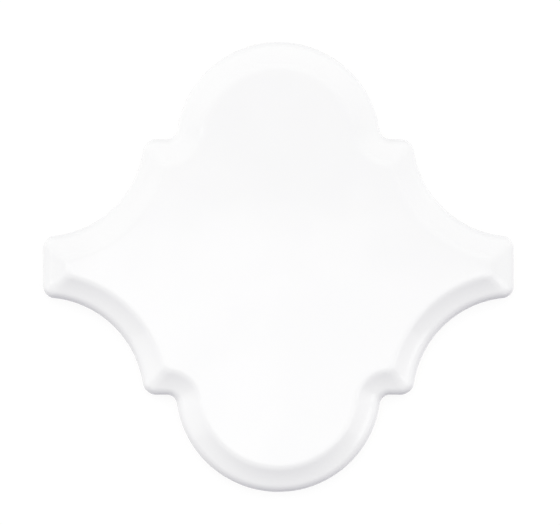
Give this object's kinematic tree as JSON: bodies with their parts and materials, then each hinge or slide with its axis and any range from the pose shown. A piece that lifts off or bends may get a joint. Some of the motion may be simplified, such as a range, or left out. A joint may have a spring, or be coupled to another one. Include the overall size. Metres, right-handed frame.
{
  "type": "moroccan arabesque tile",
  "caption": "Glazed white ceramic wall tile of arabesque outline, with round lobes, blunt ears, hollow sides, a soft mitred bevel round a flat face and a keyed back for bedding.",
  "frame": {"origin": "centre of the tile's outline, on the plane of its back", "axes": "+X across the two ears, +Y across the two lobes, +Z out of the glazed face"},
  "size_m": [0.12, 0.1148, 0.0085],
  "materials": {
    "white_glaze": "gloss"
  },
  "bodies": {
    "root": {"tile": "white_glaze"}
  },
  "joints": []
}
